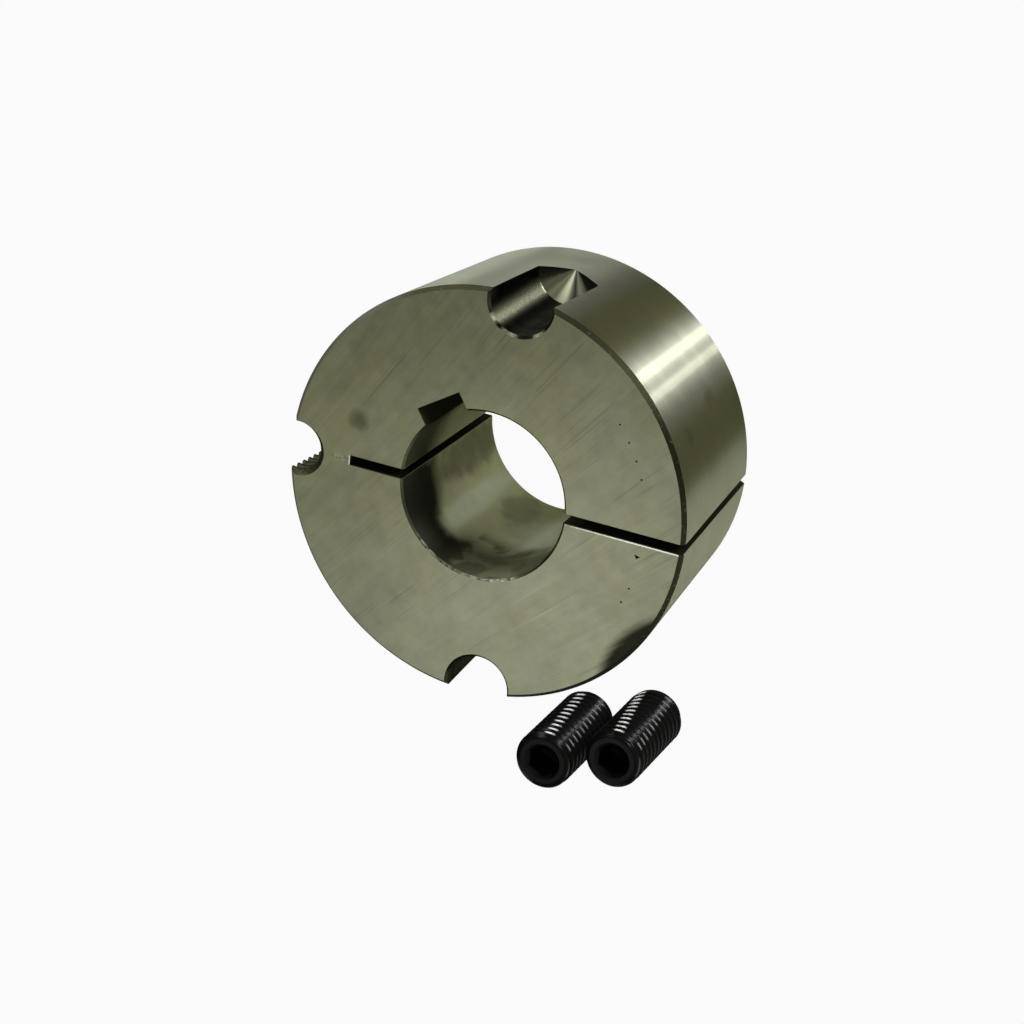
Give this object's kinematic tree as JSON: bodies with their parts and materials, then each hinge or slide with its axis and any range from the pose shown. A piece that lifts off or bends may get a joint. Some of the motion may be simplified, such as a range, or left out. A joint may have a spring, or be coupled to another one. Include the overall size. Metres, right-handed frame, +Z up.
{
  "type": "taper bush",
  "caption": "Split taper bush with a keyed bore, blind half-holes in its large face and loose socket set screws beside it, for clamping a pulley or sprocket hub to a shaft.",
  "frame": {"origin": "on the bore's axis, in the small face that the bush stands on", "axes": "+Z up the bore's axis to the large face, +Y to the middle of the keyway, +X completes it; the split lies 33.5 degrees clockwise of +X"},
  "size_m": [0.0856, 0.1133, 0.0444],
  "materials": {
    "machined_iron": "turned and faced bare metal, lightly oiled",
    "blackened_steel": "black oxide, oiled, with bright thread crests"
  },
  "bodies": {
    "root": {"taper_bush": "machined_iron", "set_screw_left": "blackened_steel", "set_screw_right": "blackened_steel"}
  },
  "joints": []
}
